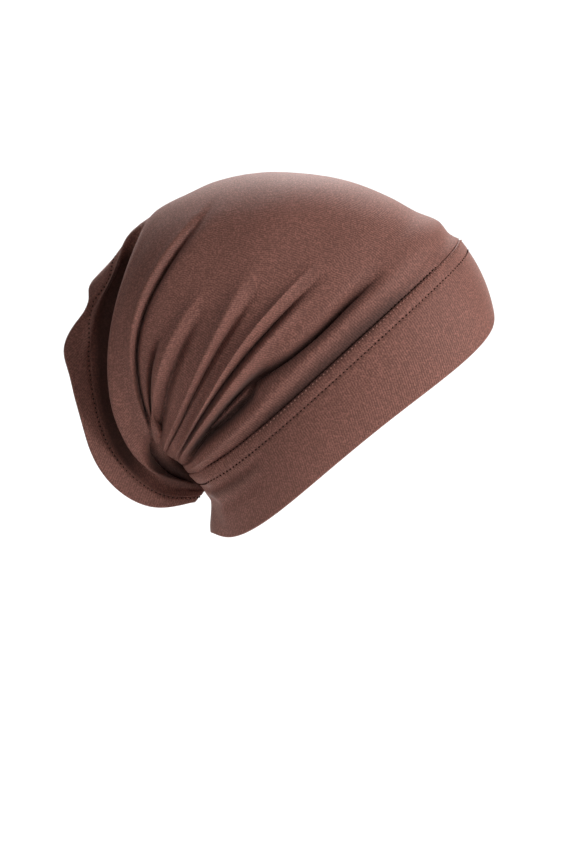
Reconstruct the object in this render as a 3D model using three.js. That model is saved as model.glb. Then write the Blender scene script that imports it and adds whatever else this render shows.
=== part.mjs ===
// Hijab underscarf cap: a wide doubled forehead band, a stretchy jersey crown that bends over the
// head into an open tail behind the nape, and the tail's turned hem.
//
// Units are millimetres, +Z is up and +X is forward. The origin is the middle of the head opening.
// The cap keeps the form that it has when worn, and the head hollow is open.
//
// The crown is one tube of cloth that bends about the nape. It is described by ribs: closed loops
// round the tube, which share their lowest points near the nape and fan out over the head. A rib
// has a foot near the nape, a top on the cap's outline, a bow in side view and a half width.

import * as THREE from 'three';

// Sizes of the head opening and the band
const OPENING_LENGTH = 238;       // brow to nape, straight across the opening
const OPENING_TILT = 38.4;        // degrees, the brow stands higher than the nape
const HEAD_WIDTH = 152;           // across the head, the widest place of the cap
const BAND_FRONT_WIDTH = 51.3;    // band width over the brow
const BAND_NAPE_WIDTH = 38.1;     // band width at the nape
const BAND_LEAN_FRONT = 12.5;     // degrees that the band leans forward of the opening's normal
const BAND_LEAN_NAPE = 29;
const OPENING_SAG = 16;           // how far the opening's edge drops below its straight line
const BAND_BULGE = 3.2;           // the band bellies out over the temples and the brow
const BELLY_FROM = 0.3;           // the belly is full above this share of the opening's length
const NAPE_FLARE = 7.5;           // the middle of the band's nape stands this much further forward
const FLARE_RISE = 0.05;          // and only below this share of the opening's length

// Sizes of the crown and the tail
const TAIL_SWING = 75.6;          // degrees about the nape, from the seam to the hem's edge
const TAIL_FALL = 82.2;           // the hem's top is this much nearer the nape than the seam's top
const TAIL_SAG = 50;              // how far the tail's sides bow out behind the nape
const GATHER_DEPTH = 22.4;        // how far the gathered cloth reaches out behind the nape seam
const FOLD_HEIGHT = 5.5;          // height of the largest fold
const HEM_WIDTH = 14.5;           // turned hem round the tail's open end
const HEM_RUFFLE = 10;            // depth of the largest wave of the hem's edge

// Cloth
const JERSEY_WALL = 1.0;          // one layer, as it stands when folded and stretched
const BAND_WALL = 2.0;            // two layers of jersey
const HEM_WALL = 2.0;
const ALLOWANCE_WIDTH = 9;        // seam allowance pressed down inside the band
const ALLOWANCE_WALL = 1.2;
const GAP = 0.3;                  // clearance between neighbouring pieces
const ALLOWANCE_GAP = 0.4;        // clearance between the band and the allowance inside it
const HEM_GAP = 0.5;              // clearance between the crown and the rippling hem

// Fineness of the faceted solids
const STEPS_AROUND = 44;
const STEPS_CROWN = 41;
const STEPS_BAND = 9;
const STEPS_HEM = 2;
const STEPS_ALLOWANCE = 3;
const END_SOFTENING = 0.22;       // radians at a rib's foot and top where its bow fades in
const WAVES_START = 0.74;         // where along the crown the hem's waves begin

// Ribs from the seam to the hem. Each row is one section of the tube:
// at: share of TAIL_SWING; fall: share of TAIL_FALL; back, up: its foot from the nape, as shares of
// GATHER_DEPTH; low, mid, high: its bow at an eighth, half and seven eighths of its height, as
// shares of TAIL_SAG; wide: share of half of HEAD_WIDTH; full: 1 is an ellipse, more is squarer.
const RIBS = [
  { at: 0, fall: 0, back: 0.33, up: 0.15, low: -0.17, mid: -0.16, high: -0.1, wide: 1, full: 1.12 },
  { at: 0.025, fall: 0.03, back: 0.37, up: 0.2, low: -0.14, mid: -0.12, high: -0.09, wide: 1.01, full: 1.13 },
  { at: 0.06, fall: 0.02, back: 0.43, up: 0.27, low: -0.09, mid: -0.08, high: -0.07, wide: 1.02, full: 1.14 },
  { at: 0.111, fall: 0.08, back: 0.51, up: 0.37, low: 0.03, mid: 0.02, high: -0.02, wide: 1.02, full: 1.16 },
  { at: 0.171, fall: 0.11, back: 0.62, up: 0.48, low: 0.08, mid: 0.08, high: -0.04, wide: 1.02, full: 1.18 },
  { at: 0.279, fall: 0.17, back: 0.88, up: 0.64, low: 0.05, mid: -0.02, high: -0.12, wide: 1.01, full: 1.18 },
  { at: 0.393, fall: 0.26, back: 1.03, up: 0.76, low: 0.04, mid: 0.08, high: 0, wide: 1, full: 1.16 },
  { at: 0.48, fall: 0.33, back: 1.12, up: 0.86, low: 0.27, mid: 0.29, high: 0.02, wide: 0.95, full: 1.12 },
  { at: 0.594, fall: 0.45, back: 0.84, up: 0.58, low: 0.4, mid: 0.72, high: 0.24, wide: 0.86, full: 1.06 },
  { at: 0.659, fall: 0.54, back: 0.43, up: 0.22, low: 0.61, mid: 0.91, high: 0.44, wide: 0.77, full: 1.05 },
  { at: 0.72, fall: 0.61, back: 0.05, up: -0.18, low: 0.85, mid: 0.96, high: 0.48, wide: 0.66, full: 1.1 },
  { at: 0.753, fall: 0.66, back: -0.12, up: -0.39, low: 0.74, mid: 0.76, high: 0.36, wide: 0.32, full: 1.2 },
  { at: 0.815, fall: 0.75, back: -0.07, up: -0.47, low: 0.8, mid: 0.88, high: 0.4, wide: 0.34, full: 1.3 },
  { at: 0.921, fall: 0.92, back: 0.03, up: -0.62, low: 0.71, mid: 0.92, high: 0.45, wide: 0.43, full: 1.3 },
  { at: 1, fall: 1, back: 0.21, up: -0.8, low: 0.78, mid: 0.92, high: 0.52, wide: 0.5, full: 1.3 },
];

// Edge of the head opening, in the same terms, with its bow as shares of OPENING_SAG
const OPENING = { low: -1.00, mid: -0.92, high: -0.92, wide: 0.97, full: 1.12 };

// Folds that fan out from the gather at the nape. Each row is one ridge, or a valley if its height
// is below 0: foot, mid, tip: where along the crown it lies at its lower end, halfway and at its
// upper end, as shares of TAIL_SWING; end: the share of the rib's height where it ends; height:
// share of FOLD_HEIGHT; span: half width, a share of TAIL_SWING; left: its strength on the cap's
// left side.
const FOLDS = [
  { foot: 0.045, mid: 0.048, tip: 0.052, end: 0.90, height: 0.60, span: 0.022, left: 0.9 },
  { foot: 0.134, mid: 0.096, tip: 0.088, end: 0.86, height: -1.15, span: 0.020, left: 0.8 },
  { foot: 0.160, mid: 0.166, tip: 0.158, end: 0.66, height: 0.55, span: 0.020, left: 0.9 },
  { foot: 0.196, mid: 0.212, tip: 0.180, end: 0.72, height: -0.80, span: 0.018, left: 1.1 },
  { foot: 0.230, mid: 0.290, tip: 0.234, end: 0.76, height: 0.95, span: 0.020, left: 1.0 },
  { foot: 0.345, mid: 0.350, tip: 0.335, end: 0.62, height: -0.60, span: 0.018, left: 0.8 },
  { foot: 0.396, mid: 0.388, tip: 0.374, end: 0.70, height: 0.70, span: 0.024, left: 1.1 },
  { foot: 0.450, mid: 0.455, tip: 0.440, end: 0.50, height: -0.65, span: 0.016, left: 1.0 },
  { foot: 0.500, mid: 0.490, tip: 0.458, end: 0.58, height: 0.75, span: 0.022, left: 0.9 },
  { foot: 0.615, mid: 0.576, tip: 0.560, end: 0.94, height: -1.05, span: 0.018, left: 1.0 },
];

// Waves of the hem's free edge: rise: share of the rib's height; out: share of HEM_RUFFLE;
// span: half width, a share of the rib's height; left: its strength on the cap's left side.
const HEM_WAVES = [
  { rise: 0.480, out: -0.20, span: 0.130, left: 0.6 },
  { rise: 0.780, out: 0.45, span: 0.090, left: -0.3 },
  { rise: 0.910, out: -1.00, span: 0.070, left: 1.0 },
];

const RIGHT_ANGLE = Math.PI / 2;
const radians = THREE.MathUtils.degToRad;

// A point in the cap's middle plane, at an angle and distance from another
function polar(from, angle, distance) {
  return { x: from.x + distance * Math.cos(angle), z: from.z + distance * Math.sin(angle) };
}

// Corners of the band in the middle plane
const tilt = radians(OPENING_TILT);
const openingFoot = polar({ x: 0, z: 0 }, tilt + Math.PI, OPENING_LENGTH / 2);
const openingTop = polar({ x: 0, z: 0 }, tilt, OPENING_LENGTH / 2);
const nape = polar(openingFoot, tilt + RIGHT_ANGLE - radians(BAND_LEAN_NAPE), BAND_NAPE_WIDTH);
const brow = polar(openingTop, tilt + RIGHT_ANGLE - radians(BAND_LEAN_FRONT), BAND_FRONT_WIDTH);
const seamAngle = Math.atan2(brow.z - nape.z, brow.x - nape.x);
const seamReach = Math.hypot(brow.x - nape.x, brow.z - nape.z);

// A point of a rib. The turn runs from the foot (0) over the right side to the top (PI) and back
// down the left side. The bow is the sine series that passes through its three given values.
function ribPoint(rib, turn) {
  const round = THREE.MathUtils.euclideanModulo(turn, 2 * Math.PI);
  const half = Math.min(round, 2 * Math.PI - round);
  const rise = (1 - Math.cos(half)) / 2;
  const chordX = rib.top.x - rib.foot.x;
  const chordZ = rib.top.z - rib.foot.z;
  const chord = Math.hypot(chordX, chordZ);
  const ends = (rib.low + rib.high) / Math.SQRT2;
  const soften = (angle) => 1 - Math.exp(-((angle / END_SOFTENING) ** 2));
  const bow = (((ends + rib.mid) / 2) * Math.sin(half)
    + ((rib.low - rib.high) / 2) * Math.sin(2 * half)
    + ((ends - rib.mid) / 2) * Math.sin(3 * half)) * soften(half) * soften(Math.PI - half);
  const side = round <= Math.PI ? -1 : 1;
  return new THREE.Vector3(
    rib.foot.x + chordX * rise - (chordZ / chord) * bow,
    side * rib.wide * Math.sin(half) ** (1 / rib.full),
    rib.foot.z + chordZ * rise + (chordX / chord) * bow,
  );
}

// The value of one column of the rib table between its rows, by a smooth curve through them
function column(name, at) {
  let row = 0;
  while (row < RIBS.length - 2 && at > RIBS[row + 1].at) row += 1;
  const slope = (k) => {
    const before = RIBS[Math.max(k - 1, 0)];
    const after = RIBS[Math.min(k + 1, RIBS.length - 1)];
    return (after[name] - before[name]) / (after.at - before.at);
  };
  const [start, end] = [RIBS[row], RIBS[row + 1]];
  const step = end.at - start.at;
  const t = (at - start.at) / step;
  return start[name] * (1 + 2 * t) * (1 - t) ** 2 + slope(row) * step * t * (1 - t) ** 2
    + end[name] * t * t * (3 - 2 * t) - slope(row + 1) * step * t * t * (1 - t);
}

// The rib at any place from the seam (0) to the hem's edge (1)
function crownRib(at) {
  const angle = seamAngle + radians(TAIL_SWING * at);
  return {
    foot: {
      x: nape.x - column('back', at) * GATHER_DEPTH,
      z: nape.z + column('up', at) * GATHER_DEPTH,
    },
    top: polar(nape, angle, seamReach - column('fall', at) * TAIL_FALL),
    low: column('low', at) * TAIL_SAG,
    mid: column('mid', at) * TAIL_SAG,
    high: column('high', at) * TAIL_SAG,
    wide: (column('wide', at) * HEAD_WIDTH) / 2,
    full: column('full', at),
  };
}

const openingRib = {
  foot: openingFoot,
  top: openingTop,
  low: OPENING.low * OPENING_SAG,
  mid: OPENING.mid * OPENING_SAG,
  high: OPENING.high * OPENING_SAG,
  wide: (OPENING.wide * HEAD_WIDTH) / 2,
  full: OPENING.full,
};
const seamRib = crownRib(0);

// Outward direction of a surface point(along, turn)
function outward(point, along, turn) {
  const small = 1e-3;
  const acrossTurn = point(along, turn + small).sub(point(along, turn - small));
  const acrossAlong = point(along + small, turn).sub(point(along - small, turn));
  return acrossTurn.cross(acrossAlong).normalize();
}

const smooth = (t) => THREE.MathUtils.smoothstep(t, 0, 1);

// Height of the folds above the plain crown
function foldHeight(at, turn) {
  const rise = (1 - Math.cos(turn)) / 2;
  let height = 0;
  for (const fold of FOLDS) {
    const way = Math.min(rise / fold.end, 1);
    const [from, to] = way < 0.5 ? [fold.foot, fold.mid] : [fold.mid, fold.tip];
    const middle = THREE.MathUtils.lerp(from, to, way < 0.5 ? way * 2 : way * 2 - 1);
    const across = Math.exp(-(((at - middle) / fold.span) ** 2));
    const up = smooth(rise / 0.06) * (1 - smooth((way - 0.6) / 0.4));
    const side = turn <= Math.PI ? 1 : fold.left;
    height += fold.height * FOLD_HEIGHT * across * up * side;
  }
  return height;
}

// The crown without its folds. Towards the hem it waves in and out, square to its ribs' chords.
function plainCrown(at, turn) {
  const rib = crownRib(at);
  const point = ribPoint(rib, turn);
  const rise = (1 - Math.cos(turn)) / 2;
  let out = 0;
  for (const wave of HEM_WAVES) {
    const side = turn <= Math.PI ? 1 : wave.left;
    out += wave.out * side * Math.exp(-(((rise - wave.rise) / wave.span) ** 2));
  }
  const chordX = rib.top.x - rib.foot.x;
  const chordZ = rib.top.z - rib.foot.z;
  const fade = smooth((at - WAVES_START) / (1 - WAVES_START));
  const reach = (out * HEM_RUFFLE * fade) / Math.hypot(chordX, chordZ);
  point.x -= chordZ * reach;
  point.z += chordX * reach;
  return point;
}

// The crown's outer face, with its folds
function crownFace(at, turn) {
  const inside = THREE.MathUtils.clamp(at, 0.002, 0.998);
  const folds = outward(plainCrown, inside, turn).multiplyScalar(foldHeight(at, turn));
  return plainCrown(at, turn).add(folds);
}

// The band's outer face, from the opening's edge (0) up to the seam (1)
function flatBand(up, turn) {
  const point = ribPoint(openingRib, turn).lerp(ribPoint(seamRib, turn), up);
  const fade = 1 - smooth((1 - Math.cos(turn)) / 2 / FLARE_RISE);
  point.x += NAPE_FLARE * Math.sin(Math.PI * Math.max(up, 0) ** 1.4) * fade;
  return point;
}

function bandFace(up, turn) {
  const rise = (1 - Math.cos(turn)) / 2;
  const belly = BAND_BULGE * 4 * up * (1 - up) * smooth(rise / BELLY_FROM);
  return flatBand(up, turn).addScaledVector(outward(flatBand, up, turn), belly);
}

// How far along a face, in its own terms, a distance square to its lines reaches at one turn
function shareOf(face, from, distance, turn) {
  const probe = 1e-3;
  const ahead = face(from + probe, turn).sub(face(from, turn));
  const sideways = face(from, turn + probe).sub(face(from, turn - probe)).normalize();
  return (distance * probe) / ahead.cross(sideways).length();
}

// The direction of the cut between two walls that meet in a line, so that both are mitred alike
function mitre(faceBefore, before, faceAfter, after) {
  return (turn) => outward(faceBefore, before, turn).add(outward(faceAfter, after, turn)).normalize();
}

// A closed wall of cloth between two lines across a face, laid inward from the face by depth. Each
// line gives its place on the face and the wall's direction there, both from the turn.
function clothWall(face, first, last, steps, depth, thickness) {
  const places = [];
  for (let row = 0; row <= steps; row += 1) {
    for (let k = 0; k < STEPS_AROUND; k += 1) {
      const turn = (2 * Math.PI * k) / STEPS_AROUND;
      const along = THREE.MathUtils.lerp(first.place(turn), last.place(turn), row / steps);
      let normal = outward(face, along, turn);
      if (row === 0) normal = first.cut(turn);
      if (row === steps) normal = last.cut(turn);
      const outer = face(along, turn).addScaledVector(normal, -depth);
      places.push([outer, outer.clone().addScaledVector(normal, -thickness)]);
    }
  }
  const positions = [];
  for (const layer of [0, 1]) {
    for (const place of places) positions.push(...place[layer].toArray());
  }
  const inner = places.length;
  const faces = [];
  const quad = (a, b, c, d) => faces.push(a, b, c, a, c, d);
  const corner = (row, k) => row * STEPS_AROUND + (k % STEPS_AROUND);
  for (let k = 0; k < STEPS_AROUND; k += 1) {
    for (let row = 0; row < steps; row += 1) {
      const [a, b] = [corner(row, k), corner(row, k + 1)];
      const [c, d] = [corner(row + 1, k + 1), corner(row + 1, k)];
      quad(a, b, c, d);
      quad(inner + a, inner + d, inner + c, inner + b);
    }
    const [a, b] = [corner(0, k), corner(0, k + 1)];
    const [c, d] = [corner(steps, k), corner(steps, k + 1)];
    quad(a, inner + a, inner + b, b);
    quad(c, d, inner + d, inner + c);
  }
  const geometry = new THREE.BufferGeometry();
  geometry.setAttribute('position', new THREE.Float32BufferAttribute(positions, 3));
  geometry.setIndex(faces);
  geometry.computeVertexNormals();
  return geometry;
}

// The rib where the turned hem begins, measured at the middle of the tail's side
const hemStart = 1 - shareOf(crownFace, 0.95, HEM_WIDTH, RIGHT_ANGLE);

const seamCut = mitre(bandFace, 0.98, crownFace, 0.01);
const hemCut = (turn) => outward(crownFace, hemStart, turn);

function makeCrown() {
  const first = { place: (turn) => shareOf(crownFace, 0.002, GAP, turn), cut: seamCut };
  const last = { place: (turn) => hemStart - shareOf(crownFace, hemStart, HEM_GAP, turn), cut: hemCut };
  return clothWall(crownFace, first, last, STEPS_CROWN, 0, JERSEY_WALL);
}

function makeHem() {
  const first = { place: () => hemStart, cut: hemCut };
  const last = { place: () => 1, cut: (turn) => outward(crownFace, 0.995, turn) };
  return clothWall(crownFace, first, last, STEPS_HEM, 0, HEM_WALL);
}

function makeBand() {
  const first = { place: () => 0, cut: (turn) => outward(bandFace, 0, turn) };
  const last = { place: () => 1, cut: seamCut };
  return clothWall(bandFace, first, last, STEPS_BAND, 0, BAND_WALL);
}

// The allowance lies inside the band, along the seam
function makeAllowance() {
  const start = (turn) => 1 - shareOf(bandFace, 0.9, ALLOWANCE_WIDTH, turn);
  const first = { place: start, cut: (turn) => outward(bandFace, start(turn), turn) };
  const last = { place: () => 1, cut: seamCut };
  return clothWall(bandFace, first, last, STEPS_ALLOWANCE, BAND_WALL + ALLOWANCE_GAP, ALLOWANCE_WALL);
}

function cloth(name, geometry, color, roughness) {
  const material = new THREE.MeshStandardMaterial({ color, roughness, metalness: 0 });
  const mesh = new THREE.Mesh(geometry, material);
  mesh.name = name;
  return mesh;
}

const cap = new THREE.Group();
cap.add(cloth('front_band', makeBand(), 0x8b6058, 0.85));
cap.add(cloth('seam_allowance', makeAllowance(), 0x6b4840, 0.9));
cap.add(cloth('crown', makeCrown(), 0x7a554b, 0.85));
cap.add(cloth('back_hem', makeHem(), 0x6f4c43, 0.85));

export default cap;
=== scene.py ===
"""A jersey underscarf cap in its worn form: folds, seams, stitches and knit, in a pale studio.

Everything is in metres, +Z is up and +X runs towards the brow. The cap's right side faces the
camera. The crown is one bent tube of cloth, described by ribs: closed loops round the tube that
share their lowest points near the nape and fan out over the head. A place on it is given by `at`,
from the join seam (0) to the hem's edge (1), and `turn`, from the rib's foot over the right side
to its top (pi) and back down the left side.
"""

import math
import random
from collections import namedtuple

import bmesh
import bpy
import numpy as np
from bpy.props import FloatProperty, FloatVectorProperty, IntProperty, PointerProperty
from mathutils import Matrix, Vector


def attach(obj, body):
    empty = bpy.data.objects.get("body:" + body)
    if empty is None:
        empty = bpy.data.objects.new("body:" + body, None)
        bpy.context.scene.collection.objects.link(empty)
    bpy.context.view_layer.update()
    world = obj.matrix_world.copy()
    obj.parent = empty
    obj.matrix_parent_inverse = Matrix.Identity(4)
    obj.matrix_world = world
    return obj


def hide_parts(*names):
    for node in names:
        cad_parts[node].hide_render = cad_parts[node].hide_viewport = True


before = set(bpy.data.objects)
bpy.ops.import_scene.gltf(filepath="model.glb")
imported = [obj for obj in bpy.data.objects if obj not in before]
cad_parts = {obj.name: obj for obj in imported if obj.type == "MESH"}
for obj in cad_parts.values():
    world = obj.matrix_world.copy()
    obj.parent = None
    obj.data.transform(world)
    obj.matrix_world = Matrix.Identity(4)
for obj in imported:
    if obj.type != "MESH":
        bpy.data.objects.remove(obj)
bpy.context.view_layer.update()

bl_info = {
    "name": "Underscarf cap",
    "version": (1, 0, 0),
    "blender": (4, 5, 0),
    "location": "View3D > Sidebar > Cap",
    "description": "Builds a worn jersey underscarf cap with its folds, seams and stitches",
    "category": "Add Mesh",
}

MM = 0.001

# Form of the head opening and the band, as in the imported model
OPENING_LENGTH = 238 * MM  # brow to nape, straight across
OPENING_TILT = math.radians(38.4)
HEAD_WIDTH = 152 * MM  # the widest place of the cap
BAND_FRONT = 51.3 * MM  # width over the brow
BAND_NAPE = 38.1 * MM  # width at the nape
BAND_LEAN_FRONT = math.radians(12.5)
BAND_LEAN_NAPE = math.radians(29)
OPENING_SAG = 16 * MM  # of its edge below the straight line
BAND_BULGE = 3.2 * MM
BELLY_FROM = 0.3  # rise above which the bulge is full
NAPE_FLARE = 7.5 * MM  # the middle of the nape stands this far forward
FLARE_RISE = 0.05  # and only below this rise
FLARE_SKEW = 1.4

# Form of the crown and the tail
TAIL_SWING = math.radians(75.6)  # about the nape, from the seam to the hem's edge
TAIL_FALL = 82.2 * MM  # the hem's top is this much nearer the nape
TAIL_SAG = 50 * MM  # bow of the tail's sides behind the nape
GATHER_DEPTH = 22.4 * MM  # reach of the gathered cloth behind the nape
FOLD_HEIGHT = 5.5 * MM
HEM_WIDTH = 14.5 * MM
HEM_RUFFLE = 10 * MM  # depth of the largest wave
END_SOFTENING = 0.22  # radians at a rib's ends where its bow fades in
WAVES_START = 0.74  # place along the crown

# How every fold runs: the roundness of its line's bend halfway, the rise over which it grows, the
# share of its way where it starts to fade, and where a lapped edge lies and ends, in spans
FOLD_BEND = 0.35
FOLD_GROW = 0.06
FOLD_FADE_FROM = 0.6
LAP_EDGE = 0.8
LAP_REACH = 2.2

# The roll of gathered cloth round the nape, and the cavity behind it, which slants up the ribs
ROLL_HEIGHT = 3.0 * MM
ROLL_ENDS_AT = 0.50
ROLL_FADE = 0.12
ROLL_ON_BAND_FROM = 0.4
ROLL_ON_BAND_GROW = 0.3
CAVITY_DEPTH = 12.0 * MM
CAVITY_AT = 0.675
CAVITY_SPAN = 0.048
CAVITY_SLANT = 0.35

# Walls of the cloth, and how far from the join seam they turn to their shared cut
JERSEY_WALL = 1.0 * MM
BAND_WALL = 2.0 * MM
HEM_WALL = 2.0 * MM
ALLOWANCE_WIDTH = 9 * MM
ALLOWANCE_WALL = 1.2 * MM
GAP = 0.3 * MM
MITRE_REACH = 5 * MM

# The join seam, where the crown's sunk edge reaches under the band and comes up over SEAM_LIP, and
# the hollow beside it. A share here is a share of the seam groove's depth.
SEAM_TUCK = 1.2 * MM
SEAM_OPENING = 0.15 * MM
SEAM_SINK = 2.6 * MM
SEAM_LIP = 2.4 * MM
SEAM_GROW = 0.03
HOLLOW_WIDTH = 7 * MM
HOLLOW_SHARE = 2.4
HOLLOW_LOSS = 0.9
HOLLOW_LOSS_FROM = 0.6
HOLLOW_LOSS_GROW = 0.2
UNDER_TUCK_REACH = 3.0 * MM
UNDER_TUCK_STEP = 2.0 * MM

# The band's raised strip over its seam allowance, down to the topstitching, both flatter over the
# brow, and the soft dents past it near the nape: depth, place past the topstitching, half width
STRIP_HEIGHT = 0.7 * MM
STRIP_EDGE = -1.0 * MM
STRIP_STEP = 1.6 * MM
SEAM_DIP_WIDTH = 1.8 * MM
TOPSTITCH_DIP_SHARE = 0.7
TOPSTITCH_DIP_WIDTH = 1.3 * MM
PUCKER_SHARE = 0.4
PUCKER_RADIUS = 97 * MM
BROW_FROM = 0.82
BROW_GROW = 0.10
STRIP_LOSS = 0.7
DIP_LOSS = 0.6
NAPE_DENTS = [(1.8 * MM, 5 * MM, 3.5 * MM), (1.4 * MM, 17 * MM, 5 * MM)]

# The hem: how far the crown's wall reaches into it, and the dip of its stitches
HEM_OVERLAP = 0.2 * MM
HEM_DIP_SHARE = 0.5
HEM_DIP_WIDTH = 1.2 * MM

# Lines of the stitches: distances past the join seam, or past the crown's end at the hem
JOIN_STITCH_LINE = -1.4 * MM
JOIN_LOOP_LINE = 0.3 * MM
TOPSTITCH_LINE = -(ALLOWANCE_WIDTH + 0.2 * MM)
HEM_STITCH_LINE = 1.4 * MM
STITCH_WANDER = 0.12

# The knit: slant and height of its loops beside the wales, how finely the fibres, the patches of
# colour and the thread's twist vary, and the tones of the cloth in its light and dark places
LOOP_SLANT = 1.1
LOOP_SHARE = 0.12
FIBRE_SCALE = 950
PATCH_SCALE = 55
TWIST_SCALE = 2600
LIGHT_TONE = 1.6
DARK_TONE = 0.5
# Painted shade of the creases: the tone that it darkens the cloth towards, and how far
PAINTED_SHADE_TONE = 0.12
PAINTED_SHADE_STRENGTH = 0.75
BAND_TONE = 1.03
THREAD_DARK_TONE = 0.6

# Places on the faces where their steps and normals are measured, and the length of such a step
BAND_NEAR_SEAM = 0.98
BAND_NEAR_TOPSTITCH = 0.9
CROWN_NEAR_SEAM = 0.002
CROWN_PAST_SEAM = 0.01
CROWN_NEAR_HEM = 0.95
PROBE = 1e-3

# Fineness: the setting `around` is for the crown and the hem, and the folded part of the crown
# has DENSER_ROWS more rows for each of its even ones
BAND_AROUND = 600
ALLOWANCE_AROUND = 300
DENSER_ROWS = 3
WAY_STEPS = 2001
NORMAL_STEPS = 501
PATH_STEPS = 4001

# Parts of a rib's rise, or of the crown's length, where something shows: it begins, grows to full
# over `grow`, starts to go at `end` and is gone over `fade`. One that begins at -1 is full from 0.
Zone = namedtuple("Zone", "begin grow end fade")
ROLL_RISES = Zone(0.00, 0.006, 0.03, 0.09)
CAVITY_RISES = Zone(0.00, 0.010, 0.03, 0.10)
TUCK_RISES = Zone(0.03, 0.04, 0.84, 0.08)
DENT_RISES = Zone(0.00, 0.03, 0.12, 0.12)
FOLDED_PART = Zone(0.02, 0.03, 0.69, 0.04)

# Shade painted into the cloth's colour at its deep places. dark: how dark, where all above 1 is as
# dark as 1; place: where along the cloth; span: half width; rises: which part of the ribs
Shade = namedtuple("Shade", "dark place span rises")
CAVITY_SHADE = Shade(1.6, 0.68, 0.065, Zone(-1.00, 1.00, 0.025, 0.06))
CROWN_SEAM_SHADE = Shade(1.1, 0.00, 0.024, Zone(0.10, 0.20, 0.70, 0.20))
PINCH_SHADE = Shade(1.5, 0.81, 0.055, Zone(0.05, 0.20, 0.85, 0.10))
BAND_SEAM_SHADE = Shade(0.6, 1.00, 0.060, Zone(0.10, 0.20, 0.60, 0.20))
DENT_SHADE = Shade(0.6, 0.62, 0.060, DENT_RISES)
VALLEY_SHADE = 0.5

# Ribs from the seam to the hem. at: place along the crown, a share of TAIL_SWING; fall: share of
# TAIL_FALL; back, up: the foot from the nape, as shares of GATHER_DEPTH; low, mid, high: the bow at
# an eighth, half and seven eighths of the height, as shares of TAIL_SAG; wide: share of half of
# HEAD_WIDTH; full: 1 is an ellipse, more is squarer.
Rib = namedtuple("Rib", "at fall back up low mid high wide full")
RIBS = [
    Rib(0.000, 0.00, 0.33, 0.15, -0.17, -0.16, -0.10, 1.00, 1.12),
    Rib(0.025, 0.03, 0.37, 0.20, -0.14, -0.12, -0.09, 1.01, 1.13),
    Rib(0.060, 0.02, 0.43, 0.27, -0.09, -0.08, -0.07, 1.02, 1.14),
    Rib(0.111, 0.08, 0.51, 0.37, 0.03, 0.02, -0.02, 1.02, 1.16),
    Rib(0.171, 0.11, 0.62, 0.48, 0.08, 0.08, -0.04, 1.02, 1.18),
    Rib(0.279, 0.17, 0.88, 0.64, 0.05, -0.02, -0.12, 1.01, 1.18),
    Rib(0.393, 0.26, 1.03, 0.76, 0.04, 0.08, 0.00, 1.00, 1.16),
    Rib(0.480, 0.33, 1.12, 0.86, 0.27, 0.29, 0.02, 0.95, 1.12),
    Rib(0.594, 0.45, 0.84, 0.58, 0.40, 0.72, 0.24, 0.86, 1.06),
    Rib(0.659, 0.54, 0.43, 0.22, 0.61, 0.91, 0.44, 0.77, 1.05),
    Rib(0.720, 0.61, 0.05, -0.18, 0.85, 0.96, 0.48, 0.66, 1.10),
    Rib(0.753, 0.66, -0.12, -0.39, 0.74, 0.76, 0.36, 0.32, 1.20),
    Rib(0.815, 0.75, -0.07, -0.47, 0.80, 0.88, 0.40, 0.34, 1.30),
    Rib(0.921, 0.92, 0.03, -0.62, 0.71, 0.92, 0.45, 0.43, 1.30),
    Rib(1.000, 1.00, 0.21, -0.80, 0.78, 0.92, 0.52, 0.50, 1.30),
]

# Edge of the head opening, in the same terms, with its bow as shares of OPENING_SAG
OPENING = Rib(0, 0, 0, 0, -1.00, -0.92, -0.92, 0.97, 1.12)

# Folds that fan out from the nape, and a ridge of the tail. foot, mid, tip: where along the crown
# the fold lies at its lower end, halfway and at its upper end; begin, end: the rises of its ends;
# height: share of FOLD_HEIGHT; span: half width, a share of the crown; crisp: 2 is round, 1 is a
# sharp crease; lap: how many spans one edge of a valley hangs over it, from the seam's side or, if
# below 0, from the tail's side; left: its strength on the cap's left side.
Fold = namedtuple("Fold", "foot mid tip begin end height span crisp lap left")
FOLDS = [
    Fold(0.045, 0.048, 0.052, 0.00, 0.90, 0.60, 0.020, 2.0, 0.0, 0.9),
    Fold(0.098, 0.076, 0.080, 0.00, 0.36, -2.60, 0.012, 1.8, 0.6, 1.1),
    Fold(0.110, 0.118, 0.110, 0.00, 0.44, -2.20, 0.016, 1.8, 0.7, 0.8),
    Fold(0.098, 0.060, 0.084, 0.26, 0.82, -2.20, 0.018, 1.8, 0.9, 0.8),
    Fold(0.160, 0.166, 0.158, 0.00, 0.66, 0.55, 0.018, 1.8, 0.0, 0.9),
    Fold(0.192, 0.212, 0.180, 0.00, 0.72, -1.35, 0.017, 1.8, -0.8, 1.1),
    Fold(0.204, 0.290, 0.234, 0.00, 0.76, 0.95, 0.018, 1.5, 0.0, 1.0),
    Fold(0.345, 0.352, 0.335, 0.00, 0.62, -0.85, 0.017, 1.8, -0.4, 0.8),
    Fold(0.396, 0.388, 0.374, 0.00, 0.70, 0.75, 0.020, 1.7, 0.0, 1.1),
    Fold(0.450, 0.455, 0.440, 0.00, 0.50, -1.00, 0.014, 1.6, -0.5, 1.0),
    Fold(0.500, 0.490, 0.458, 0.00, 0.58, 0.75, 0.018, 1.7, 0.0, 0.9),
    Fold(0.548, 0.532, 0.508, 0.00, 0.42, -1.10, 0.012, 1.8, 0.5, 0.9),
    Fold(0.626, 0.573, 0.558, 0.00, 0.94, -1.50, 0.013, 1.6, -0.9, 1.0),
    Fold(0.645, 0.595, 0.577, 0.00, 0.92, 0.55, 0.011, 1.8, 0.0, 1.0),
    Fold(0.900, 0.850, 0.800, 0.66, 1.06, 0.55, 0.022, 1.8, 0.0, 0.7),
]

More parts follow.
